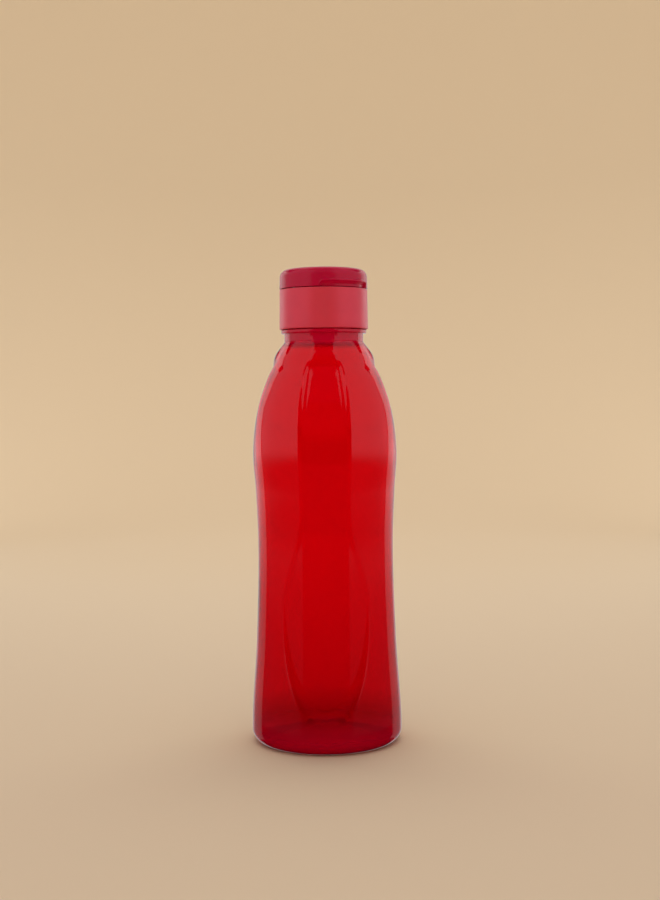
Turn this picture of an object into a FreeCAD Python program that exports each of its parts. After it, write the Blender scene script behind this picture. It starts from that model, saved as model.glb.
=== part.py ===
import FreeCAD, Part
import math
import os

# A one-litre drinking bottle with a flip-top screw cap, in millimetres.
# +Z is up, the front faces -Y, and the origin is the centre of the base.

# ---- bottle: radii at the sides, from the base up
wall = 0.9
base_radius = 42.0
base_corner = 7.4            # rounding between the side and the base
rest_width = 5.6             # of the flat ring that it stands on, inside that rounding
push_up_height = 5.0         # of the hollow under the base
flare_height, flare_radius = 57.0, 39.2
waist_height, waist_radius = 110.0, 37.8
# above the waist, each height is counted from the one before
swell_rise, swell_radius = 31.0, 38.9
bulge_rise, bulge_radius = 22.0, 40.2
fall_rise, fall_radius = 24.4, 37.0
slope_rise, slope_radius = 15.1, 31.4
tongue_foot_rise, tongue_foot_radius = 6.0, 28.7
tongue_top_rise, tongue_top_radius = 7.3, 27.4
shoulder_rise = 7.7          # from there to where the neck stands on the shoulder

# ---- the four flutes between the shoulder's lobes, with a tongue at the head of each
flute_depth = 2.1
flute_drop = 15.0            # from the bulge down to where a flute has run out, its foot
flute_deepest = 55.0         # height above its foot at which it is deepest
flute_length = 65.0          # from its foot to its head, above which its floor is the tongue
flute_edge = 1.7             # width of the sloped wall along a flute
flute_half_widths = [(0.0, 13.6), (27.0, 13.4), (42.0, 12.6), (64.0, 8.9), (75.5, 5.6)]
tongue_rise = 0.8            # how far a tongue stands proud of the lobes
tongue_lag = 3.0             # how far above its deepest place a flute's floor starts to come out
tongue_fade = 6.5            # height over which the tongue runs out under the neck

# ---- the bowl low on the front and on the back, which the flute runs into
crease = 0.25                # least depth of the panel, at the waist
bowl_share = 0.85            # how much of the flare the bowl's floor stays behind
bowl_below_waist = 35.0      # from the waist down to the bowl's widest place
bowl_half_width = 25.5
bowl_foot = 14.0             # height of its lowest place
bowl_rise = 56.0             # from its widest place up to where it is as narrow as the flute
bowl_side_wall = 2.2
bowl_foot_wall = 11.0

# ---- how finely the bottle's side is set out
seam = 36.0                  # degrees from +X, on a plain stretch between a bowl and a side flute
steps_round = 66             # stations round half of the bottle
steps_low = 12               # levels up to halfway up the bowl's lower end
steps_side = 24              # levels from there to the shoulder's slope
steps_shoulder = 11          # levels from there to the neck

# ---- neck: threaded tube with a support ring under it
finish_radius = 20.6         # outside of the threaded tube
finish_wall = 1.8
finish_height = 18.1         # of the threaded tube, above the ring
neck_step = 1.4              # how much wider the neck is below the ring
neck_height = 4.6            # from the shoulder up to the ring
ring_overhang = 1.7
ring_thick = 1.9
edge_round = 0.3             # on the ring's edges and the thin edges of the cap's pieces
mouth_round = 0.6
thread_pitch = 4.0
thread_turns = 1.5
thread_depth = 1.1
thread_root = 1.5            # width of a thread where it meets its wall
thread_crest = 0.9
thread_lead = 6.0            # from the ring up to where the neck's thread starts
thread_from = 20.0           # degrees round from +X where the threads start
thread_sink = 0.3            # how far a thread's root runs into its wall

# ---- cap: core, collar and gasket
soft_gap = 0.3               # between faces of pieces that move past each other
fit_gap = 0.05               # between pieces pressed together
pin_gap = 0.05               # round the pin in the lid's barrel
core_wall = 1.2
core_above_ring = 1.2        # from the ring up to the core's lower edge
deck_thick = 1.5
gasket_thick = 1.5
gasket_inset = 0.1           # from the neck's bore out to the gasket's
collar_wall = 1.2
collar_above_ring = 0.4
collar_flare = 0.25          # the collar is this much wider at its foot
collar_round = 0.6
collar_lip = 2.6             # how far the collar's top reaches in over the deck
collar_lip_thick = 1.4
collar_edge = 0.4            # rounding of its top edge

# ---- spout
spout_bore_radius = 7.0
spout_wall = 1.6
spout_height = 6.8           # above the deck
spout_tail = 0.4             # how far it reaches below the deck
spout_offset = 5.0           # from the middle towards the thumb notch
spout_flange = 1.6           # width of the flange it seats on
spout_flange_thick = 1.2
spout_round = 0.4            # at its mouth

# ---- lid
parting_gap = 0.4            # the groove between the collar and the lid
lid_overhang = 0.1           # how much further out its lower edge is than the collar
lid_draft = 0.2              # how much less its radius is at the top of its side
lid_height = 10.8            # from its lower edge to the rim of its top
lid_corner = 4.5
lid_crown = 1.3              # how far the middle of the top stands above its rim
lid_wall = 1.5
notch_direction = -55.5      # degrees from +X, seen from above
notch_half_span = 40.0       # degrees
notch_height = 3.1           # at the lid's side
notch_depth = 1.5
notch_roof = 1.6             # how far its roof slopes down from there to its back
seal_flange_thick = 1.4
seal_plug_depth = 2.0
seal_plug_gap = 0.5
seal_seat_inset = 0.8        # from the spout's outside in to the edge of the boss over the seal

# ---- hinge, opposite the thumb notch
pin_radius = 0.6
barrel_radius = 1.5
barrel_inset = 0.05          # from the lid's side in to the barrel
hinge_rise = 0.8             # from the lid's lower edge up to the pin
barrel_half_length = 3.2
barrel_room = 0.6            # in front of the barrel, in the lid
ear_gap = 0.2
ear_thick = 1.6
ear_foot = 0.5               # how far an ear runs down into the deck
hinge_clear = 0.4            # beside the ears, in the lid
flap_spread = 2.0            # beside the ears, in the collar

# ---- places worked out from the sizes above
swell_height = waist_height + swell_rise
bulge_height = swell_height + bulge_rise
fall_height = bulge_height + fall_rise
slope_height = fall_height + slope_rise
tongue_foot_height = slope_height + tongue_foot_rise
tongue_top_height = tongue_foot_height + tongue_top_rise
shoulder_top = tongue_top_height + shoulder_rise
flute_foot = bulge_height - flute_drop
bowl_centre = waist_height - bowl_below_waist
bowl_drop = bowl_centre - bowl_foot
push_up_radius = base_radius - base_corner - rest_width
neck_radius = finish_radius + neck_step
bore_radius = finish_radius - finish_wall
ring_radius = neck_radius + ring_overhang
ring_bottom = shoulder_top + neck_height
ring_top = ring_bottom + ring_thick
mouth_height = ring_top + finish_height
neck_thread_start = ring_top + thread_lead
core_bottom = ring_top + core_above_ring
deck_bottom = mouth_height + gasket_thick
deck_top = deck_bottom + deck_thick
core_bore = finish_radius + thread_depth + soft_gap
core_radius = core_bore + core_wall
collar_bottom = ring_top + collar_above_ring
collar_bore = core_radius + fit_gap
collar_radius = collar_bore + collar_wall
collar_top = deck_top + collar_lip_thick
lid_radius = collar_radius + lid_overhang
lid_bottom = collar_top + parting_gap
lid_rim = lid_bottom + lid_height
hinge_direction = notch_direction + 180.0
hinge_out = lid_radius - barrel_inset - barrel_radius
hinge_height = lid_bottom + hinge_rise
hinge_web = barrel_radius + lid_wall    # height of the web that holds the barrel in the lid
ear_start = barrel_half_length + ear_gap
ear_end = ear_start + ear_thick
spout_outer = spout_bore_radius + spout_wall
spout_top = deck_top + spout_height
seal_bottom = spout_top + soft_gap
seal_top = seal_bottom + seal_flange_thick

UP = FreeCAD.Vector(0, 0, 1)
FRONT, BACK, LEFT, RIGHT = -90.0, 90.0, 180.0, 0.0


def smooth(t):
    """0 below t = 0 and 1 above t = 1, with a smooth rise between."""
    t = min(max(t, 0.0), 1.0)
    return t * t * (3.0 - 2.0 * t)


def through(stations, at):
    """The value at a height of a smooth curve through (height, value) stations."""
    if at <= stations[0][0]:
        return stations[0][1]
    if at >= stations[-1][0]:
        return stations[-1][1]
    rises = [(b[1] - a[1]) / (b[0] - a[0]) for a, b in zip(stations, stations[1:])]
    slopes = [0.0] + [(m + n) / 2 for m, n in zip(rises, rises[1:])] + [rises[-1]]
    i = max(k for k, station in enumerate(stations[:-1]) if station[0] <= at)
    (low, start), (high, end) = stations[i], stations[i + 1]
    span = high - low
    t = (at - low) / span
    return (
        (1 + 2 * t) * (1 - t) ** 2 * start
        + t * (1 - t) ** 2 * span * slopes[i]
        + t * t * (3 - 2 * t) * end
        - t * t * (1 - t) * span * slopes[i + 1]
    )


def side_radius(z):
    """The radius down the middle of a flute on the left or right side."""
    if z < base_corner:
        return base_radius - base_corner + math.sqrt(base_corner**2 - (base_corner - z) ** 2)
    return through(
        [
            (base_corner, base_radius),
            (flare_height, flare_radius),
            (waist_height, waist_radius),
            (swell_height, swell_radius),
            (bulge_height, bulge_radius),
            (fall_height, fall_radius),
            (slope_height, slope_radius),
            (tongue_foot_height, tongue_foot_radius),
            (tongue_top_height, tongue_top_radius),
            (shoulder_top, neck_radius),
        ],
        z,
    )


def flute_half_width(z):
    return through(flute_half_widths, z - flute_foot)


def lobe_rise(z):
    """How far the lobes between the flutes stand above the flutes' floor."""
    deep = flute_depth * smooth((z - flute_foot) / flute_deepest)
    above = z - flute_foot - flute_deepest
    head = smooth((above - tongue_lag) / (flute_length - flute_deepest))
    proud = tongue_rise * smooth((shoulder_top - z) / tongue_fade)
    return deep * (1 - head) - proud * head


def bowl_fill(across, z):
    """1 on the bowl's floor, 0 outside its edge, and between them on its sloped wall."""
    if z >= bowl_centre:
        narrow = flute_half_width(flute_foot)
        edge = narrow + (bowl_half_width - narrow) * (1 - smooth((z - bowl_centre) / bowl_rise))
        return smooth((edge - across) / bowl_side_wall)
    drop = bowl_centre - z
    outer = math.hypot(across / bowl_half_width, drop / bowl_drop)
    inner = math.hypot(
        across / (bowl_half_width - bowl_side_wall), drop / (bowl_drop - bowl_foot_wall)
    )
    if outer >= 1:
        return 0.0
    return 1.0 if inner <= 1 else smooth((1 - outer) / (inner - outer))


def body_radius(angle, z):
    """The bottle's outer radius at an angle in degrees and a height."""
    side = side_radius(z)
    lobe = side + lobe_rise(z)
    off = min(abs((angle - middle + 180) % 360 - 180) for middle in (FRONT, BACK, LEFT, RIGHT))
    across = side * math.radians(off)
    flute = smooth((flute_half_width(z) - across) / flute_edge)
    radius = lobe + (side - lobe) * flute
    off = min(abs((angle - middle + 180) % 360 - 180) for middle in (FRONT, BACK))
    across = side * math.radians(off)
    if z < waist_height:
        deep = crease + bowl_share * (side - waist_radius)
    else:
        deep = crease * smooth((slope_height - z) / (slope_height - bulge_height))
    return radius - max(deep, 0.0) * bowl_fill(across, z)


def body_skin(levels, radius_at):
    """A closed solid whose side passes through radius_at(angle, height), with flat ends.

    The bottle looks the same from the front and the back, so half of its side is made and turned.
    """
    angles = [seam + 180.0 * i / steps_round for i in range(steps_round + 1)]
    surface = Part.BSplineSurface()
    surface.interpolate([[on_circle(radius_at(a, z), a, z) for a in angles] for z in levels])
    half = surface.toShape()
    other = half.copy()
    other.rotate(FreeCAD.Vector(), UP, 180)
    faces = [half, other]
    for z in (levels[0], levels[-1]):
        rim = [e for f in (half, other) for e in f.Edges if abs(e.BoundBox.ZLength) < 1e-6
               and abs(e.BoundBox.ZMin - z) < 1e-6]
        faces.append(Part.Face(Part.Wire(Part.__sortEdges__(rim))))
    shell = Part.makeShell(faces)
    shell.sewShape()
    return outward(Part.makeSolid(shell))


def on_circle(radius, angle, z):
    turn = math.radians(angle)
    return FreeCAD.Vector(radius * math.cos(turn), radius * math.sin(turn), z)


def inner_radius(angle, z):
    """The bottle's inner radius: the wall in from the outside, with its own corner at the base."""
    if z >= base_corner:
        return body_radius(angle, z) - wall
    corner = base_corner - wall
    return base_radius - base_corner + math.sqrt(max(corner**2 - (base_corner - z) ** 2, 0.0))


def spaced(start, end, count):
    return [start + (end - start) * (i + 1) / count for i in range(count)]


def body_levels(floor):
    """Heights at which the side is set out, closer together where the shape turns faster."""
    corner = base_corner - floor
    levels = [base_corner - corner * math.cos(math.radians(a)) for a in (0, 14, 28, 44, 60, 75, 90)]
    levels += spaced(base_corner, bowl_centre - bowl_drop / 2, steps_low)
    levels += spaced(levels[-1], slope_height, steps_side)
    return levels + spaced(levels[-1], shoulder_top - floor, steps_shoulder)


def outward(solid):
    """The solid with its faces pointing outwards."""
    return solid if solid.Volume > 0 else solid.reversed()


def turned(points):
    """A solid turned about the Z axis from straight lines through (radius, height) points."""
    corners = [FreeCAD.Vector(r, 0, z) for r, z in points]
    face = Part.Face(Part.makePolygon(corners + corners[:1]))
    return outward(face.revolve(FreeCAD.Vector(), UP, 360))


def tube(inner, outer, bottom, top):
    return turned([(inner, bottom), (outer, bottom), (outer, top), (inner, top)])


def disc(radius, bottom, top):
    return Part.makeCylinder(radius, top - bottom, FreeCAD.Vector(0, 0, bottom))


def thread(root_radius, crest_radius, start, turns):
    """A right-hand helical ridge that stands on a wall at root_radius and ends at crest_radius."""
    sink = thread_sink if crest_radius > root_radius else -thread_sink
    spread = (thread_root - thread_crest) / 2 * (1 + thread_sink / thread_depth)
    buried = root_radius - sink
    helix = Part.makeHelix(thread_pitch, thread_pitch * turns, buried)
    corners = [
        FreeCAD.Vector(buried, 0, -thread_crest / 2 - spread),
        FreeCAD.Vector(crest_radius, 0, -thread_crest / 2),
        FreeCAD.Vector(crest_radius, 0, thread_crest / 2),
        FreeCAD.Vector(buried, 0, thread_crest / 2 + spread),
    ]
    profile = Part.makePolygon(corners + corners[:1])
    ridge = outward(Part.Wire(helix).makePipeShell([profile], True, True))
    ridge.rotate(FreeCAD.Vector(), UP, thread_from)
    ridge.translate(FreeCAD.Vector(0, 0, start))
    return ridge


def push_up(radius, height, bottom):
    """The dome-shaped hollow pushed up into the base."""
    sphere_radius = (radius**2 + height**2) / (2 * height)
    ball = Part.makeSphere(sphere_radius, FreeCAD.Vector(0, 0, bottom + height - sphere_radius))
    return ball.common(disc(radius + 1, bottom - 0.01, bottom + height + 1))


def bottle_body():
    outer = body_skin(body_levels(0.0), body_radius)
    outer = outer.cut(push_up(push_up_radius, push_up_height, 0.0))
    inner = body_skin(body_levels(wall), inner_radius)
    inner = inner.cut(push_up(push_up_radius + wall, push_up_height + wall, 0.0))
    inner = inner.fuse(disc(bore_radius, shoulder_top - 3 * wall, mouth_height + 1))
    neck = turned([
        (0, shoulder_top - wall / 2),
        (neck_radius - wall / 2, shoulder_top - wall / 2),
        (neck_radius - wall / 2, shoulder_top),
        (neck_radius, shoulder_top + edge_round),
        (neck_radius, ring_bottom),
        (ring_radius - edge_round, ring_bottom),
        (ring_radius, ring_bottom + edge_round),
        (ring_radius, ring_top - edge_round),
        (ring_radius - edge_round, ring_top),
        (finish_radius, ring_top),
        (finish_radius, mouth_height - mouth_round),
        (finish_radius - mouth_round, mouth_height),
        (0, mouth_height),
    ])
    ridge = thread(
        finish_radius, finish_radius + thread_depth, neck_thread_start, thread_turns
    )
    return outer.fuse(neck).cut(inner).fuse(ridge)


def block(out_from, out_to, half_width, bottom, top, direction):
    """A block that reaches outwards in a direction, given in degrees from +X."""
    box = Part.makeBox(
        out_to - out_from, 2 * half_width, top - bottom,
        FreeCAD.Vector(out_from, -half_width, bottom),
    )
    box.rotate(FreeCAD.Vector(), UP, direction)
    return box


def hinge_rod(radius, start, end):
    """A round bar on the hinge line, from start to end along it."""
    rod = Part.makeCylinder(
        radius, end - start, FreeCAD.Vector(hinge_out, start, hinge_height), FreeCAD.Vector(0, 1, 0)
    )
    rod.rotate(FreeCAD.Vector(), UP, hinge_direction)
    return rod


def spout_place(solid):
    """Moves a solid from the axis to the spout, which stands nearer the thumb notch."""
    place = FreeCAD.Vector(spout_offset, 0, 0)
    solid.translate(place)
    solid.rotate(FreeCAD.Vector(), UP, notch_direction)
    return solid


def cap_core():
    shell = tube(core_bore, core_radius, core_bottom, deck_bottom)
    shell = shell.fuse(disc(core_radius, deck_bottom, deck_top))
    shell = shell.cut(spout_place(disc(
        spout_outer + fit_gap, deck_bottom - 1, deck_top + 1
    )))
    core_start = neck_thread_start + thread_pitch / 2
    shell = shell.fuse(thread(core_bore, core_bore - thread_depth, core_start, thread_turns))
    for start, end in ((ear_start, ear_end), (-ear_end, -ear_start)):
        foot = deck_top - ear_foot
        post = Part.makeBox(
            core_radius - hinge_out + barrel_radius, end - start, hinge_height - foot,
            FreeCAD.Vector(hinge_out - barrel_radius, start, foot),
        )
        post.rotate(FreeCAD.Vector(), UP, hinge_direction)
        ear = post.fuse(hinge_rod(barrel_radius, start, end))
        shell = shell.fuse(ear.common(disc(lid_radius, foot, lid_rim)))
    return shell.cut(hinge_rod(pin_radius + fit_gap, -ear_end - 1, ear_end + 1))


def cap_collar():
    foot_radius = collar_radius + collar_flare
    sleeve = turned([
        (collar_bore, collar_bottom),
        (foot_radius - collar_round, collar_bottom),
        (foot_radius - 0.3 * collar_round, collar_bottom + 0.3 * collar_round),
        (foot_radius, collar_bottom + collar_round),
        (collar_radius, collar_top - collar_edge),
        (collar_radius - collar_edge, collar_top),
        (core_radius - collar_lip, collar_top),
        (core_radius - collar_lip, deck_top),
        (collar_bore, deck_top),
    ])
    opening = block(
        core_radius - collar_lip - 2, foot_radius + 2, ear_end + flap_spread,
        hinge_height - hinge_web - soft_gap, collar_top + 1, hinge_direction,
    )
    return sleeve.cut(opening)


def neck_gasket():
    return tube(bore_radius + gasket_inset, core_bore - soft_gap, mouth_height, deck_bottom)


def drinking_spout():
    flange = spout_outer + spout_flange
    return spout_place(turned([
        (spout_bore_radius, deck_bottom - spout_tail),
        (spout_outer, deck_bottom - spout_tail),
        (spout_outer, deck_top),
        (flange, deck_top),
        (flange, deck_top + spout_flange_thick),
        (spout_outer, deck_top + spout_flange_thick),
        (spout_outer - edge_round, spout_top - spout_round),
        (spout_outer - edge_round - spout_round, spout_top),
        (spout_bore_radius + spout_round, spout_top),
        (spout_bore_radius, spout_top - spout_round),
    ]))


def lid_outline(inset):
    """The lid's half outline, closed along its lower edge and the axis, moved in by inset."""
    side = lid_radius - inset
    draft = side - lid_draft
    rim = lid_rim - inset
    corner = lid_corner - inset
    crown = lid_rim + lid_crown - inset
    lean = math.radians(45)
    foot = FreeCAD.Vector(side, 0, lid_bottom)
    start = FreeCAD.Vector(draft, 0, rim - corner)
    middle = FreeCAD.Vector(
        draft - corner + corner * math.cos(lean), 0, rim - corner + corner * math.sin(lean)
    )
    end = FreeCAD.Vector(draft - corner, 0, rim)
    top = FreeCAD.Vector(0, 0, crown)
    low = FreeCAD.Vector(0, 0, lid_bottom)
    sphere_radius = ((draft - corner) ** 2 + lid_crown**2) / (2 * lid_crown)
    centre = crown - sphere_radius
    half = math.asin((draft - corner) / sphere_radius) / 2
    dome = FreeCAD.Vector(sphere_radius * math.sin(half), 0, centre + sphere_radius * math.cos(half))
    return Part.Wire([
        Part.makeLine(low, foot),
        Part.makeLine(foot, start),
        Part.Arc(start, middle, end).toShape(),
        Part.Arc(end, dome, top).toShape(),
        Part.makeLine(top, low),
    ])


def lid_solid(inset):
    return outward(Part.Face(lid_outline(inset)).revolve(FreeCAD.Vector(), UP, 360))


def thumb_notch(extra):
    """The space of the thumb notch: a ring sector under a sloping roof."""
    inner = lid_radius - notch_depth - extra
    outer = lid_radius + 2
    top = lid_bottom + notch_height + extra
    slope = notch_roof / notch_depth
    face = Part.Face(Part.makePolygon([
        FreeCAD.Vector(inner, 0, lid_bottom - 1),
        FreeCAD.Vector(outer, 0, lid_bottom - 1),
        FreeCAD.Vector(outer, 0, top + slope * (outer - lid_radius)),
        FreeCAD.Vector(inner, 0, top - notch_roof),
        FreeCAD.Vector(inner, 0, lid_bottom - 1),
    ]))
    half = notch_half_span + math.degrees(extra / lid_radius)
    sector = outward(face.revolve(FreeCAD.Vector(), UP, 2 * half))
    sector.rotate(FreeCAD.Vector(), UP, notch_direction - half)
    return sector


def flip_lid():
    shell = lid_solid(0.0).cut(thumb_notch(0.0))
    hollow = lid_solid(lid_wall).cut(thumb_notch(lid_wall))
    boss = spout_place(disc(spout_outer - seal_seat_inset, seal_top, lid_rim))
    shell = shell.cut(hollow).fuse(boss.common(lid_solid(lid_wall / 2)))
    opening = block(
        hinge_out - barrel_radius - barrel_room, lid_radius + 2, ear_end + hinge_clear,
        lid_bottom - 1, hinge_height + barrel_radius + soft_gap, hinge_direction,
    )
    shell = shell.cut(opening)
    web = block(
        hinge_out - barrel_radius, hinge_out + barrel_radius, barrel_half_length,
        hinge_height, hinge_height + hinge_web, hinge_direction,
    )
    barrel = hinge_rod(barrel_radius, -barrel_half_length, barrel_half_length)
    shell = shell.fuse(web.fuse(barrel).common(disc(lid_radius, deck_top, lid_rim)))
    return shell.cut(hinge_rod(pin_radius + pin_gap, -ear_start, ear_start))


def lid_seal():
    plug = spout_bore_radius - seal_plug_gap
    return spout_place(turned([
        (0, seal_bottom - seal_plug_depth),
        (plug - seal_plug_gap, seal_bottom - seal_plug_depth),
        (plug, seal_bottom),
        (spout_outer, seal_bottom),
        (spout_outer, seal_top),
        (0, seal_top),
    ]))


def hinge_pin():
    return hinge_rod(pin_radius, -ear_end, ear_end)


pieces = {
    "bottle_body": bottle_body,
    "cap_core": cap_core,
    "cap_collar": cap_collar,
    "neck_gasket": neck_gasket,
    "drinking_spout": drinking_spout,
    "flip_lid": flip_lid,
    "lid_seal": lid_seal,
    "hinge_pin": hinge_pin,
}

os.makedirs("parts", exist_ok=True)
for name, make in pieces.items():
    shape = make()
    shape.exportStep(f"parts/{name}.step")
    print(name, len(shape.Solids), "solid", round(shape.Volume), "mm3", shape.isValid())
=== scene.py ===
import bmesh
import bpy
import math
from mathutils import Matrix, Vector


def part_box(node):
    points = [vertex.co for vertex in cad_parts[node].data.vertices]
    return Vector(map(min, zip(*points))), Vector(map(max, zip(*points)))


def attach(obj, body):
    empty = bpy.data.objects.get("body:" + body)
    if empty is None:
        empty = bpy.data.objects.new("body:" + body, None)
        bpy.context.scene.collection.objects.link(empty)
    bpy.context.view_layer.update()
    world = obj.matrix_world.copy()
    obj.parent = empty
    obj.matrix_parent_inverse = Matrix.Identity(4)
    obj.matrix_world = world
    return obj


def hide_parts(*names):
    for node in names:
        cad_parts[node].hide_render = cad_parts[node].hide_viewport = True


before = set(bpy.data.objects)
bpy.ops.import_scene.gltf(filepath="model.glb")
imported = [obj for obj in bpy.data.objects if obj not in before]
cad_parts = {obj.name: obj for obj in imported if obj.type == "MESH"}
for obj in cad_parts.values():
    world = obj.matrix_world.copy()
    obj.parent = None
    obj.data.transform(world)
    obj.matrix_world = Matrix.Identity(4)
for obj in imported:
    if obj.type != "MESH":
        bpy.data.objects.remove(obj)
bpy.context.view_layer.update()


# ============================================================================================
# Camera: a portrait view from a little above the middle of the bottle, tilted slightly down.
# It stands three quarters of a metre away and leans by half a degree, as one levelled by hand.
axis_offset = 0.0029
camera_away = 0.752
camera_height = 0.192
camera_tilt = math.radians(2.2)
camera_lean = math.radians(0.5)

camera = bpy.data.objects.new("camera", bpy.data.cameras.new("camera"))
camera.data.sensor_fit = "VERTICAL"
camera.data.sensor_height = 36.0
camera.data.lens = 53.67
camera.location = (axis_offset, -camera_away, camera_height)
camera.rotation_euler = (
    Matrix.Rotation(math.pi / 2 - camera_tilt, 3, "X") @ Matrix.Rotation(-camera_lean, 3, "Z")
).to_euler()
bpy.context.scene.collection.objects.link(camera)
bpy.context.scene.camera = camera
bpy.context.scene.view_settings.view_transform = "Standard"


# ============================================================================================
# The bottle: one blown shell of clear red PET, from an injected preform whose neck keeps its
# thread and support ring. Four flutes part the shoulder's lobes, and a bowl is sunk into the
# front and the back, where the flute above it runs out.
MM = 0.001

wall = 0.9
base_radius = 42.0
base_corner = 7.4
shoulder_top = 223.5
neck_radius = 22.0
push_up_radius = 29.0
push_up_height = 5.0
waist_height, waist_radius = 110.0, 37.8
side_stations = [
    (base_corner, base_radius),
    (57.0, 39.2),
    (waist_height, waist_radius),
    (141.0, 38.9),
    (163.0, 40.2),
    (187.4, 37.0),
    (202.5, 31.4),
    (208.5, 28.7),
    (215.8, 27.4),
    (shoulder_top, neck_radius),
]
flute_depth = 2.1
flute_foot = 148.0
flute_full = 203.0
flute_head = 213.0
flute_hold = 3.0
tongue_rise = 0.8
tongue_hold = 4.0
flute_edge = 1.7
flute_half_widths = [(148.0, 13.6), (175.0, 13.4), (190.0, 12.6), (212.0, 8.9), (223.5, 5.6)]
crease = 0.25
crease_end = 202.5
crease_fade = 39.5
bowl_share = 0.85
bowl_centre = 75.0
bowl_half_width = 25.5
bowl_drop = 61.0
bowl_rise = 56.0
bowl_side_wall = 2.2
bowl_foot_wall = 11.0
neck_round = 0.5
ring_radius = 23.7
ring_bottom = 228.1
ring_thick = 1.9
ring_edge = 0.4
ring_root = 0.3
finish_radius = 20.6
finish_wall = 1.8
mouth_round = 0.5
neck_wall = 1.35
mouth_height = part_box("bottle_body")[1].z / MM
thread_pitch = 4.0
thread_turns = 1.5
thread_depth = 1.1
thread_root = 1.5
thread_crest = 0.9
thread_start = 236.0
thread_from = 20.0
thread_run_in = 0.06
sides_above, lobes_above, neck_above = 42.0, 150.0, 203.0
steps_round = 240


def smooth(t):
    """0 below t = 0 and 1 above t = 1, with a smooth rise between."""
    t = min(max(t, 0.0), 1.0)
    return t * t * (3.0 - 2.0 * t)


def through(stations, at):
    """The value at a height of a smooth curve through (height, value) stations."""
    if at <= stations[0][0]:
        return stations[0][1]
    if at >= stations[-1][0]:
        return stations[-1][1]
    rises = [(b[1] - a[1]) / (b[0] - a[0]) for a, b in zip(stations, stations[1:])]
    slopes = [0.0] + [(m + n) / 2 for m, n in zip(rises, rises[1:])] + [rises[-1]]
    i = max(k for k, station in enumerate(stations[:-1]) if station[0] <= at)
    (low, start), (high, end) = stations[i], stations[i + 1]
    span = high - low
    t = (at - low) / span
    return (
        (1 + 2 * t) * (1 - t) ** 2 * start
        + t * (1 - t) ** 2 * span * slopes[i]
        + t * t * (3 - 2 * t) * end
        - t * t * (1 - t) * span * slopes[i + 1]
    )


def lobe_rise(z):
    """How far the lobes between the flutes stand above the flutes' floor."""
    deep = flute_depth * smooth((z - flute_foot) / (flute_full - flute_foot))
    head = smooth((z - flute_full - flute_hold) / (flute_head - flute_full))
    tongue_full = shoulder_top - flute_head - tongue_hold
    proud = tongue_rise * smooth((shoulder_top - z) / tongue_full)
    return deep * (1 - head) - proud * head


def bowl_fill(across, z):
    """1 on the bowl's floor, 0 outside its edge, and between them on its sloped wall."""
    if z >= bowl_centre:
        narrow = through(flute_half_widths, flute_foot)
        edge = narrow + (bowl_half_width - narrow) * (1 - smooth((z - bowl_centre) / bowl_rise))
        return smooth((edge - across) / bowl_side_wall)
    drop = bowl_centre - z
    outer = math.hypot(across / bowl_half_width, drop / bowl_drop)
    inner = math.hypot(
        across / (bowl_half_width - bowl_side_wall), drop / (bowl_drop - bowl_foot_wall)
    )
    if outer >= 1:
        return 0.0
    return 1.0 if inner <= 1 else smooth((1 - outer) / (inner - outer))


def from_panel(angle, sides):
    """Degrees from the middle of the nearest of some evenly spaced panels, one at the front."""
    step = 360.0 / sides
    return abs((angle + 90.0 + step / 2) % step - step / 2)


def relief(angle, z):
    """How far the bottle's surface stands off its plain turned shape."""
    side = through(side_stations, z)
    rise = lobe_rise(z)
    across = side * math.radians(from_panel(angle, 4))
    flute = smooth((through(flute_half_widths, z) - across) / flute_edge)
    if z < waist_height:
        deep = crease + bowl_share * (side - waist_radius)
    else:
        deep = crease * smooth((crease_end - z) / crease_fade)
    across = side * math.radians(from_panel(angle, 2))
    return rise * (1 - flute) - max(deep, 0.0) * bowl_fill(across, z)


def spaced(start, end, count):
    return [start + (end - start) * (i + 1) / count for i in range(count)]


def arc(centre_out, centre_up, radius, start, end, count):
    """Points of an arc in a half outline, from one angle in degrees to another."""
    turns = [math.radians(start + (end - start) * i / count) for i in range(count + 1)]
    return [(centre_out + radius * math.cos(t), centre_up + radius * math.sin(t)) for t in turns]


def spun(outline, steps, closed=False):
    """A bmesh turned about Z from a half outline of (radius, height) points in millimetres."""
    bm = bmesh.new()
    verts = [bm.verts.new((r * MM, 0, z * MM)) for r, z in outline]
    edges = [bm.edges.new(pair) for pair in zip(verts, verts[1:])]
    if closed:
        edges.append(bm.edges.new((verts[-1], verts[0])))
    bmesh.ops.spin(
        bm, geom=verts + edges, cent=(0, 0, 0), axis=(0, 0, 1), angle=2 * math.pi,
        steps=steps, use_merge=True,
    )
    bmesh.ops.remove_doubles(bm, verts=bm.verts, dist=1e-6)
    bmesh.ops.recalc_face_normals(bm, faces=bm.faces)
    return bm


def finished(name, bm, sharp=35.0):
    """The object of a bmesh, shaded smooth but for edges that turn by more than sharp degrees."""
    mesh = bpy.data.meshes.new(name)
    bm.to_mesh(mesh)
    bm.free()
    mesh.shade_smooth()
    mesh.set_sharp_from_angle(angle=math.radians(sharp))
    piece = bpy.data.objects.new(name, mesh)
    bpy.context.scene.collection.objects.link(piece)
    return piece


def thread_rise(angle, z):
    """How far the neck's helical thread stands off its tube."""
    turn = (angle - thread_from) % 360.0 / 360.0
    rise = 0.0
    for whole in range(math.ceil(thread_turns)):
        along = turn + whole
        if along > thread_turns:
            continue
        run_in = smooth(along / thread_run_in) * smooth((thread_turns - along) / thread_run_in)
        off = abs(z - thread_start - thread_pitch * along)
        flank = (thread_root / 2 - off) / ((thread_root - thread_crest) / 2)
        rise = max(rise, thread_depth * min(max(flank, 0.0), 1.0) * run_in)
    return rise


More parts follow.
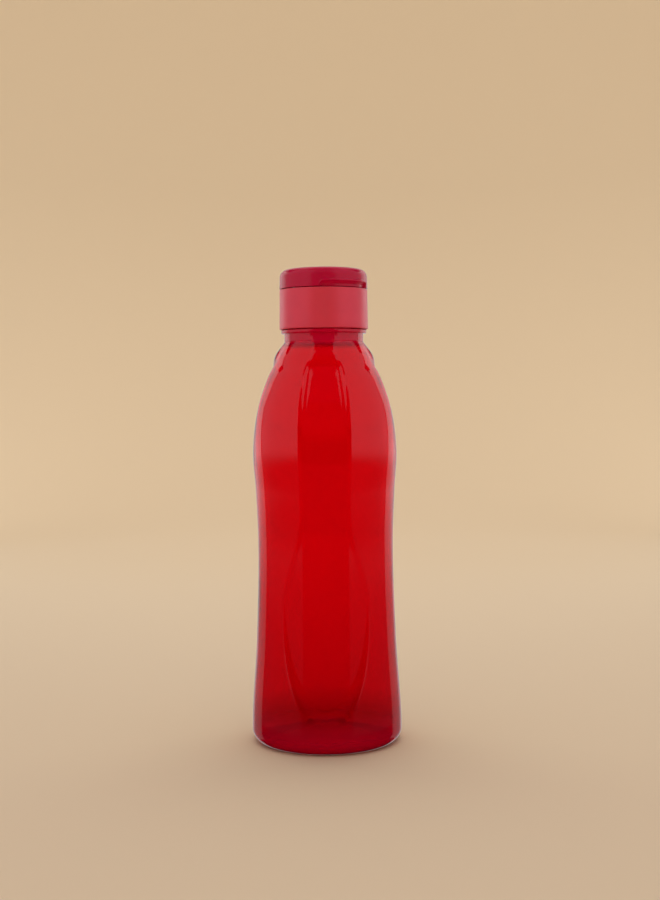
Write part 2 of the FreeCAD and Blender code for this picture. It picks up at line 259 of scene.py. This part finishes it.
def bottle_outline():
    """The half outline of the shell: up the outside, over the mouth and down the inside."""
    floor_ball = (push_up_radius**2 + push_up_height**2) / (2 * push_up_height)
    reach = math.degrees(math.asin(push_up_radius / floor_ball))
    points = arc(0.0, push_up_height - floor_ball, floor_ball, 90.0, 90.0 - reach, 14)
    points.append((push_up_radius + 0.5, 0.0))
    corner_out = base_radius - base_corner
    points += arc(corner_out, base_corner, base_corner, -90.0, 0.0, 14)
    levels = spaced(base_corner, sides_above, 36) + spaced(sides_above, lobes_above, 60)
    levels += spaced(lobes_above, neck_above, 36) + spaced(neck_above, shoulder_top, 34)
    points += [(through(side_stations, z), z) for z in levels]
    points += arc(
        neck_radius + neck_round, shoulder_top + neck_round, neck_round, 225.0, 180.0, 2
    )
    points += [(neck_radius, ring_bottom - ring_edge)]
    points += arc(neck_radius + ring_root, ring_bottom - ring_root, ring_root, 180.0, 90.0, 3)
    ring_top = ring_bottom + ring_thick
    flat = ring_radius - ring_edge
    points += arc(flat, ring_bottom + ring_edge, ring_edge, -90.0, 0.0, 4)
    points += arc(flat, ring_top - ring_edge, ring_edge, 0.0, 90.0, 4)
    points += [(finish_radius + 0.2, ring_top)]
    thread_low = thread_start - thread_root
    thread_high = thread_start + thread_pitch * thread_turns + thread_root
    points += [(finish_radius, z) for z in spaced(ring_top + 0.3, thread_low, 3)]
    points += [(finish_radius, z) for z in spaced(thread_low, thread_high, 36)]
    bore = finish_radius - finish_wall
    rim = mouth_height - mouth_round
    points += arc(finish_radius - mouth_round, rim, mouth_round, 0.0, 90.0, 4)
    points += arc(bore + mouth_round, rim, mouth_round, 90.0, 180.0, 4)
    points += [(bore, z) for z in spaced(mouth_height - 1.0, ring_top - 0.6, 4)]
    neck_foot = shoulder_top - 2 * wall
    points += [
        (neck_radius - neck_wall, ring_bottom - ring_edge), (neck_radius - neck_wall, shoulder_top),
        (through(side_stations, neck_foot) - wall, neck_foot),
    ]
    inside = spaced(neck_foot, neck_above, 14) + spaced(neck_above, lobes_above, 18)
    inside += spaced(lobes_above, sides_above, 30) + spaced(sides_above, base_corner, 18)
    points += [(through(side_stations, z) - wall, z) for z in inside]
    points += arc(corner_out, base_corner, base_corner - wall, 0.0, -90.0, 10)[1:]
    points += arc(0.0, push_up_height - floor_ball, floor_ball + wall, 90.0 - reach, 90.0, 12)
    return points


bottle_mesh = spun(bottle_outline(), steps_round)
for vert in bottle_mesh.verts:
    out, height = vert.co.xy.length / MM, vert.co.z / MM
    angle = math.degrees(math.atan2(vert.co.y, vert.co.x))
    shift = 0.0
    if base_corner < height < shoulder_top and out > finish_radius:
        shift = relief(angle, height)
    elif height > ring_bottom + ring_thick and out > finish_radius - 0.05:
        shift = thread_rise(angle, height)
    if shift:
        vert.co.xy *= (out + shift) / out
bottle = finished("bottle", bottle_mesh, 50.0)


def linear(code):
    """A colour's linear values from its sRGB hex code."""
    parts = [int(code[i:i + 2], 16) / 255 for i in (1, 3, 5)]
    return tuple(p / 12.92 if p <= 0.04045 else ((p + 0.055) / 1.055) ** 2.4 for p in parts) + (1,)


def node(tree, kind, settings=None, inputs=None, links=None):
    """A new node with its settings, its input values and its inputs' links."""
    made = tree.nodes.new(kind)
    for key, value in (settings or {}).items():
        setattr(made, key, value)
    for key, value in (inputs or {}).items():
        made.inputs[key].default_value = value
    for key, source in (links or {}).items():
        tree.links.new(source, made.inputs[key])
    return made


def new_material(name):
    material = bpy.data.materials.new(name)
    material.use_nodes = True
    material.node_tree.nodes.clear()
    return material, material.node_tree


# Blown PET: glassy and clear, dyed red through and through. The skin is very smooth, with the
# slow waves that blowing leaves, and fine scuffs that dull the gloss here and there. The red is
# mixed darker towards the base: painted shade, for the shade that falls on the lower body. The
# unblown neck and the heel of the base are thick enough for the dye to scatter light, so they
# glow red of their own.
pet, tree = new_material("blown_red_PET")
place = node(tree, "ShaderNodeTexCoord").outputs["Object"]
wave_length, scuff_size = 28 * MM, 4 * MM
painted_shade_below, unshaded_above = 45 * MM, 125 * MM
heel_bottom, heel_top = 5 * MM, 22 * MM
neck_start = shoulder_top * MM
waves = node(
    tree, "ShaderNodeTexNoise", {}, {"Scale": 1 / wave_length, "Detail": 1.0}, {"Vector": place}
)
scuffs = node(
    tree, "ShaderNodeTexNoise", {}, {"Scale": 1 / scuff_size, "Detail": 4.0}, {"Vector": place}
)
haze = node(
    tree, "ShaderNodeMapRange", {},
    {"From Min": 0.35, "From Max": 0.75, "To Min": 0.03, "To Max": 0.09},
    {"Value": scuffs.outputs["Fac"]},
)
ripple = node(
    tree, "ShaderNodeBump", {}, {"Strength": 0.25, "Distance": 0.6 * MM},
    {"Height": waves.outputs["Fac"]},
)
height = node(tree, "ShaderNodeSeparateXYZ", {}, {}, {"Vector": place})
# Painted shade: the red base colour is mixed darker from 125 mm down to 45 mm up the bottle.
painted_shade_fade = node(
    tree, "ShaderNodeMapRange", {}, {"From Min": painted_shade_below, "From Max": unshaded_above},
    {"Value": height.outputs["Z"]},
)
dye_and_painted_shade = node(
    tree, "ShaderNodeMix", {"data_type": "RGBA"}, {6: linear("#EE0A40"), 7: linear("#FA0A40")},
    {0: painted_shade_fade.outputs["Result"]},
)
heel = node(
    tree, "ShaderNodeMapRange", {},
    {"From Min": heel_bottom, "From Max": heel_top, "To Min": 0.6, "To Max": 0.97},
    {"Value": height.outputs["Z"]},
)
clear = node(
    tree, "ShaderNodeMapRange", {},
    {"From Min": neck_start - 3 * MM, "From Max": neck_start, "To Max": 0.3},
    {"Value": height.outputs["Z"], "To Min": heel.outputs["Result"]},
)
shade = node(
    tree, "ShaderNodeBsdfPrincipled", {}, {"IOR": 1.575},
    {"Base Color": dye_and_painted_shade.outputs[2], "Roughness": haze.outputs["Result"],
     "Transmission Weight": clear.outputs["Result"], "Normal": ripple.outputs["Normal"]},
)
node(tree, "ShaderNodeOutputMaterial", {}, {}, {"Surface": shade.outputs["BSDF"]})

bottle.data.materials.append(pet)
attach(bottle, "bottle")
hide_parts("bottle_body")


# ============================================================================================
# The collar: a sleeve moulded in lighter red polypropylene and pressed over the cap's core. Its
# foot is a little wider and rounded, and a notch at the back leaves room for the lid's hinge.
collar_low, collar_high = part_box("cap_collar")[0].z / MM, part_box("cap_collar")[1].z / MM
collar_foot_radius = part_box("cap_collar")[1].x / MM
collar_flare = 0.25
collar_radius = collar_foot_radius - collar_flare
collar_edge = 0.35
collar_chamfer = 0.3
collar_wall = 1.2
collar_lip = 2.65
collar_lip_thick = 1.4
collar_lip_round = 0.2
collar_round = 0.6
collar_steps = 192
cut_past = 1.0
notch_direction = -55.5
hinge_direction = notch_direction + 180.0
collar_notch_half = 7.0
collar_notch_deep = 2.1

collar_bore = collar_radius - collar_wall
outline = [(collar_bore, collar_low + collar_chamfer), (collar_bore + collar_chamfer, collar_low)]
outline += arc(
    collar_foot_radius - collar_round, collar_low + collar_round, collar_round, -90.0, 0.0, 8
)
side_start, side_rise = collar_low + 1.2, collar_high - collar_low - 2.0
outline += [
    (collar_foot_radius + (collar_radius - collar_foot_radius) * t, side_start + t * side_rise)
    for t in (0.1, 0.4, 0.7, 0.98)
]
outline += arc(collar_radius - collar_edge, collar_high - collar_edge, collar_edge, 0.0, 90.0, 6)
lip_edge = collar_bore - collar_lip
outline += arc(
    lip_edge + collar_lip_round, collar_high - collar_lip_round, collar_lip_round, 90.0, 180.0, 4
)
lip_bottom = collar_high - collar_lip_thick
outline += [(lip_edge, lip_bottom), (collar_bore, lip_bottom)]
collar = finished("collar", spun(outline, collar_steps, closed=True))


def block(name, out_from, out_to, half_width, bottom, top, direction):
    """A cutting block that reaches outwards in a direction, in millimetres and degrees from +X."""
    bm = bmesh.new()
    bmesh.ops.create_cube(bm, size=1.0)
    size = Vector((out_to - out_from, 2 * half_width, top - bottom)) * MM
    centre = Vector(((out_from + out_to) / 2, 0, (bottom + top) / 2)) * MM
    bmesh.ops.scale(bm, vec=size, verts=bm.verts)
    bmesh.ops.translate(bm, vec=centre, verts=bm.verts)
    turn = Matrix.Rotation(math.radians(direction), 3, "Z")
    bmesh.ops.rotate(bm, cent=(0, 0, 0), matrix=turn, verts=bm.verts)
    return finished(name, bm)


def carve(piece, tool, operation):
    """Cuts a tool out of a piece, or joins it on, and removes the tool."""
    step = piece.modifiers.new("carve", "BOOLEAN")
    step.operation = operation
    step.object = tool
    step.solver = "EXACT"
    bpy.context.view_layer.objects.active = piece
    with bpy.context.temp_override(object=piece, active_object=piece):
        bpy.ops.object.modifier_apply(modifier=step.name)
    bpy.data.objects.remove(tool)
    piece.data.set_sharp_from_angle(angle=math.radians(35))


carve(collar, block(
    "notch", lip_edge - 2 * cut_past, collar_foot_radius + 2 * cut_past, collar_notch_half,
    collar_high - collar_notch_deep, collar_high + cut_past, hinge_direction,
), "DIFFERENCE")


# Moulded polypropylene with a fine spark-eroded grain: a soft satin that spreads highlights, and
# a little light that sinks in and comes back out. The grain is drawn coarser than a real one,
# which would be too fine to show.
def satin_plastic(name, code, roughness, grain, glow, shine=0.5):
    """A moulded plastic with a fine grain in millimetres, and a share of light that sinks in."""
    material, tree = new_material(name)
    place = node(tree, "ShaderNodeTexCoord").outputs["Object"]
    cloud_size, unevenness = 9 * MM, 0.06
    speckle = node(
        tree, "ShaderNodeTexNoise", {}, {"Scale": 1 / (grain * MM), "Detail": 3.0},
        {"Vector": place},
    )
    cloud = node(
        tree, "ShaderNodeTexNoise", {}, {"Scale": 1 / cloud_size, "Detail": 2.0}, {"Vector": place}
    )
    base = linear(code)[:3]
    dark = tuple((1 - unevenness) * c for c in base) + (1,)
    pale = tuple(min((1 + unevenness) * c, 1) for c in base) + (1,)
    tint = node(
        tree, "ShaderNodeMix", {"data_type": "RGBA"}, {6: dark, 7: pale}, {0: cloud.outputs["Fac"]}
    )
    gloss = node(
        tree, "ShaderNodeMapRange", {},
        {"To Min": roughness - 0.05, "To Max": roughness + 0.05},
        {"Value": speckle.outputs["Fac"]},
    )
    bumps = node(
        tree, "ShaderNodeBump", {}, {"Strength": 0.35, "Distance": 0.03 * MM},
        {"Height": speckle.outputs["Fac"]},
    )
    shade = node(
        tree, "ShaderNodeBsdfPrincipled", {},
        {"IOR": 1.49, "Specular IOR Level": shine, "Subsurface Weight": glow,
         "Subsurface Radius": (1.0, 0.25, 0.2), "Subsurface Scale": 1.2 * MM},
        {"Base Color": tint.outputs[2], "Roughness": gloss.outputs["Result"],
         "Normal": bumps.outputs["Normal"]},
    )
    node(tree, "ShaderNodeOutputMaterial", {}, {}, {"Surface": shade.outputs["BSDF"]})
    return material


collar.data.materials.append(
    satin_plastic("satin_light_red_polypropylene", "#F83757", 0.34, 0.35, 0.3, 1.0)
)
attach(collar, "cap")
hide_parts("cap_collar")


# ============================================================================================
# The lid: a dark red moulded cap with a low dome, hinged at the back. A thumb notch is pressed
# into its lower edge opposite the hinge, under a roof that slopes back, and a boss under its
# dome holds the seal.
lid_gap = 0.4
lid_low = collar_high + lid_gap
lid_radius = 24.55
lid_draft = 0.2
lid_edge = 0.2
lid_height = 10.8
lid_corner = 4.5
lid_crown = 1.3
lid_wall = 1.5
lid_side_steps = 26
lid_steps = 400
notch_half_span = 40.0
notch_height = 3.1
notch_depth = 1.5
notch_roof = 1.6
notch_end_fade = 0.8
notch_round = 3.0
notch_lip = 0.45
notch_lip_above = 0.2
notch_lip_half = 0.8
notch_lip_fade = 0.5
pin_radius = 0.6
barrel_radius = 1.5
hinge_out = lid_radius - 1.55
hinge_height = lid_low + 0.8
barrel_half_length = 3.2
hinge_room = 0.6
ear_room = 0.4
roof_room = 0.3
pin_clearance = 0.05
ear_end = 5.0
web_inset = 0.1
web_short = 0.05
web_overlap = 1.0


def lid_half_outline(inset):
    """The lid's half outline from its lower edge to the axis, moved in by inset."""
    top_radius = lid_radius - lid_draft - inset
    rim = lid_low + lid_height - inset
    corner = lid_corner - inset
    flat = top_radius - corner
    start = lid_low + lid_edge
    points = [
        (lid_radius - inset - lid_draft * t, start + (rim - corner - start) * t)
        for t in [i / lid_side_steps for i in range(lid_side_steps + 1)]
    ]
    points += arc(flat, rim - corner, corner, 0.0, 90.0, 12)[1:]
    ball = (flat**2 + lid_crown**2) / (2 * lid_crown)
    reach = math.degrees(math.asin(flat / ball))
    return points + arc(0.0, rim + lid_crown - ball, ball, 90.0 - reach, 90.0, 10)[1:]


outline = [(lid_radius - lid_edge, lid_low)] + lid_half_outline(0.0)
inside = lid_half_outline(lid_wall)
inside.insert(0, (inside[0][0] + lid_edge, lid_low))
lid_mesh = spun(list(reversed(inside)) + outline, lid_steps)


def notch_shift(off, height, extra):
    """How far the thumb notch presses the lid's side in, off degrees from its middle.

    On the inner wall the notch is larger all round by extra, and it has no lip.
    """
    side = math.radians(notch_half_span - off) * lid_radius + extra
    roof = lid_low + notch_height + extra
    if side < notch_round:
        roof -= notch_round - math.sqrt(max(notch_round**2 - (notch_round - side) ** 2, 0.0))
    slope = min(max((roof - height) / notch_roof, 0.0), 1.0)
    lip = 0.0
    if not extra:
        beside = abs(height - roof - notch_lip_above)
        lip = notch_lip * smooth((notch_lip_half - beside) / notch_lip_fade)
    return (notch_depth * slope - lip) * smooth(side / notch_end_fade)


for vert in lid_mesh.verts:
    out, height = vert.co.xy.length / MM, vert.co.z / MM
    off = math.degrees(math.atan2(vert.co.y, vert.co.x)) - notch_direction
    off = abs((off + 180) % 360 - 180)
    if out > lid_radius - 3 * lid_wall and height < lid_low + notch_height + lid_wall:
        extra = 0.0 if out > lid_radius - lid_wall / 2 else lid_wall
        vert.co.xy *= (out - notch_shift(off, height, extra)) / out
lid = finished("lid", lid_mesh, 40.0)


def hinge_rod(name, radius, start, end, steps=32):
    """A round bar on the hinge line, from start to end along it."""
    bm = bmesh.new()
    bmesh.ops.create_cone(
        bm, cap_ends=True, segments=steps, radius1=radius * MM, radius2=radius * MM,
        depth=(end - start) * MM,
    )
    lay = Matrix.Rotation(math.pi / 2, 3, "X")
    bmesh.ops.rotate(bm, cent=(0, 0, 0), matrix=lay, verts=bm.verts)
    middle = Vector((hinge_out, (start + end) / 2, hinge_height)) * MM
    bmesh.ops.translate(bm, vec=middle, verts=bm.verts)
    turn = Matrix.Rotation(math.radians(hinge_direction), 3, "Z")
    bmesh.ops.rotate(bm, cent=(0, 0, 0), matrix=turn, verts=bm.verts)
    return finished(name, bm)


carve(lid, block(
    "opening", hinge_out - barrel_radius - hinge_room, lid_radius + 2 * cut_past,
    ear_end + ear_room, lid_low - cut_past, hinge_height + barrel_radius + roof_room,
    hinge_direction,
), "DIFFERENCE")
carve(lid, block(
    "web", hinge_out - barrel_radius, hinge_out + barrel_radius - web_inset,
    barrel_half_length - web_short, hinge_height, hinge_height + barrel_radius + web_overlap,
    hinge_direction,
), "UNION")
carve(lid, hinge_rod("barrel", barrel_radius, -barrel_half_length, barrel_half_length), "UNION")
carve(lid, hinge_rod("pin_hole", pin_radius + pin_clearance, -ear_end, ear_end), "DIFFERENCE")

# The boss stands over the seal and runs up into the dome's wall.
seal_low, seal_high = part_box("lid_seal")
boss_radius = 7.8
boss_overlap = 0.2
boss_bottom, boss_top = seal_high.z / MM, lid_low + lid_height + boss_overlap
boss_mesh = bmesh.new()
bmesh.ops.create_cone(
    boss_mesh, cap_ends=True, segments=64, radius1=boss_radius * MM, radius2=boss_radius * MM,
    depth=(boss_top - boss_bottom) * MM,
)
middle = (seal_low + seal_high) / 2
middle.z = (boss_bottom + boss_top) / 2 * MM
bmesh.ops.translate(boss_mesh, vec=middle, verts=boss_mesh.verts)
carve(lid, finished("boss", boss_mesh), "UNION")

lid.data.materials.append(
    satin_plastic("satin_dark_red_polypropylene", "#CF0240", 0.2, 0.3, 0.15)
)
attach(lid, "lid")
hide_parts("flip_lid")


# ============================================================================================
# The pieces inside the cap: the core with its deck and hinge ears, the drinking spout pushed into
# the deck, the silicone gasket and plug, and the drawn steel pin. The core is glossier than the
# sleeve over it, the silicone is milky and matt, and the wire has a soft grey shine.
core_red = satin_plastic("glossy_red_polypropylene", "#B00A1E", 0.22, 0.5, 0.2)
silicone = satin_plastic("milky_silicone", "#D9D6D0", 0.55, 0.6, 0.5)
# Drawn steel wire: bright metal, dulled by the marks of the die, which are drawn coarser than
# real ones so that they show.
steel, tree = new_material("drawn_steel_wire")
place = node(tree, "ShaderNodeTexCoord").outputs["Object"]
draw_marks = 0.3 * MM
drawn = node(
    tree, "ShaderNodeTexNoise", {}, {"Scale": 1 / draw_marks, "Detail": 2.0}, {"Vector": place}
)
gloss = node(
    tree, "ShaderNodeMapRange", {}, {"To Min": 0.22, "To Max": 0.34},
    {"Value": drawn.outputs["Fac"]},
)
shade = node(
    tree, "ShaderNodeBsdfPrincipled", {}, {"Base Color": linear("#B9B9B6"), "Metallic": 1.0},
    {"Roughness": gloss.outputs["Result"]},
)
node(tree, "ShaderNodeOutputMaterial", {}, {}, {"Surface": shade.outputs["BSDF"]})
for name, material in (
    ("cap_core", core_red), ("drinking_spout", core_red), ("neck_gasket", silicone),
    ("lid_seal", silicone), ("hinge_pin", steel),
):
    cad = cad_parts[name]
    cad.data.materials.clear()
    cad.data.materials.append(material)


# ============================================================================================
# The studio: a pale paper sweep all round, tall softboxes at the front corners, brighter ones
# further back, and a large one above the back. A black flag between the front ones keeps the
# middle of the bottle free of a highlight.
sweep_floor = 0.8
sweep_round = 1.8
sweep_mesh = bmesh.new()
outline = [(0.0, 0.0), (sweep_floor, 0.0)] + arc(sweep_floor, sweep_round, sweep_round, -80, 0, 12)
verts = [sweep_mesh.verts.new((r, 0, z)) for r, z in outline]
edges = [sweep_mesh.edges.new(pair) for pair in zip(verts, verts[1:])]
bmesh.ops.spin(
    sweep_mesh, geom=verts + edges, cent=(0, 0, 0), axis=(0, 0, 1), angle=2 * math.pi, steps=96,
    use_merge=True,
)
bmesh.ops.remove_doubles(sweep_mesh, verts=sweep_mesh.verts, dist=1e-5)
sweep = finished("sweep", sweep_mesh)

# Uncoated paper: a warm white that is matt all over, and a little uneven where its fibres lie.
paper, tree = new_material("pale_paper")
place = node(tree, "ShaderNodeTexCoord").outputs["Object"]
fibre_patch = 3 * MM
fibre = node(
    tree, "ShaderNodeTexNoise", {}, {"Scale": 1 / fibre_patch, "Detail": 2.0}, {"Vector": place}
)
gloss = node(
    tree, "ShaderNodeMapRange", {}, {"To Min": 0.85, "To Max": 0.95},
    {"Value": fibre.outputs["Fac"]},
)
shade = node(
    tree, "ShaderNodeBsdfPrincipled", {},
    {"Base Color": linear("#E6D2B4"), "Specular IOR Level": 0.1},
    {"Roughness": gloss.outputs["Result"]},
)
node(tree, "ShaderNodeOutputMaterial", {}, {}, {"Surface": shade.outputs["BSDF"]})
sweep.data.materials.append(paper)
sweep.visible_glossy = False

sky = bpy.data.worlds.new("studio")
bpy.context.scene.world = sky
sky.use_nodes = True
sky.node_tree.nodes["Background"].inputs["Color"].default_value = linear("#F4EEE4")
sky.node_tree.nodes["Background"].inputs["Strength"].default_value = 1.06
sky.cycles_visibility.glossy = False


def softbox(name, start, end, bottom, top, low_glow, high_glow, fade, tint="#FFFFFF"):
    """A curved glowing panel round the bottle, from one angle off the front to another.

    Its glow rises from low_glow to high_glow between the two heights of fade.
    """
    bm = bmesh.new()
    verts = [bm.verts.new((0, -1, z)) for z in (bottom, top)]
    edge = bm.edges.new(verts)
    bmesh.ops.rotate(
        bm, cent=(0, 0, 0), matrix=Matrix.Rotation(math.radians(start), 3, "Z"), verts=verts
    )
    bmesh.ops.spin(
        bm, geom=verts + [edge], cent=(0, 0, 0), axis=(0, 0, 1), angle=math.radians(end - start),
        steps=24,
    )
    panel = finished(name, bm)
    glow, tree = new_material(name + "_glow")
    height = node(tree, "ShaderNodeSeparateXYZ", {}, {}, {
        "Vector": node(tree, "ShaderNodeTexCoord").outputs["Object"]
    })
    level = node(
        tree, "ShaderNodeMapRange", {"interpolation_type": "SMOOTHSTEP"},
        {"From Min": fade[0], "From Max": fade[1], "To Min": low_glow, "To Max": high_glow},
        {"Value": height.outputs["Z"]},
    )
    light = node(
        tree, "ShaderNodeEmission", {}, {"Color": linear(tint)},
        {"Strength": level.outputs["Result"]},
    )
    node(tree, "ShaderNodeOutputMaterial", {}, {}, {"Surface": light.outputs["Emission"]})
    panel.data.materials.append(glow)
    panel.visible_camera = False
    panel.visible_shadow = False
    return panel


for side in (-1, 1):
    softbox(
        "front_softbox_low", side * 39, side * 116, -0.2, 0.35, 0.04, 0.46, (-0.05, 0.17), "#FFEEFA"
    )
    softbox(
        "front_softbox_high", side * 31, side * 116, 0.35, 2.4, 0.46, 0.46, (-0.05, 0.16), "#FFEEFA"
    )
    softbox("back_softbox", side * 118, side * 150, -0.5, 0.8, 0.25, 1.0, (-0.05, 0.12))
backing = softbox("backing", 150, 210, -0.6, 1.0, 0.5, 0.6, (-0.05, 0.12))
flag = softbox("black_flag", -38, 38, -0.8, 0.34, 0.0, 0.0, (0.0, 1.0))
for panel in (backing, flag):
    panel.visible_diffuse = False
backing.visible_transmission = False

lamp_behind, lamp_height, aim_height = 0.9, 1.5, 0.2
overhead = bpy.data.lights.new("overhead", "AREA")
overhead.shape = "SQUARE"
overhead.size = 1.4
overhead.energy = 3.5
lamp = bpy.data.objects.new("overhead", overhead)
lamp.location = (0, lamp_behind, lamp_height)
lamp.rotation_euler = (-math.atan2(lamp_behind, lamp_height - aim_height), 0, 0)
lamp.visible_camera = False
bpy.context.scene.collection.objects.link(lamp)
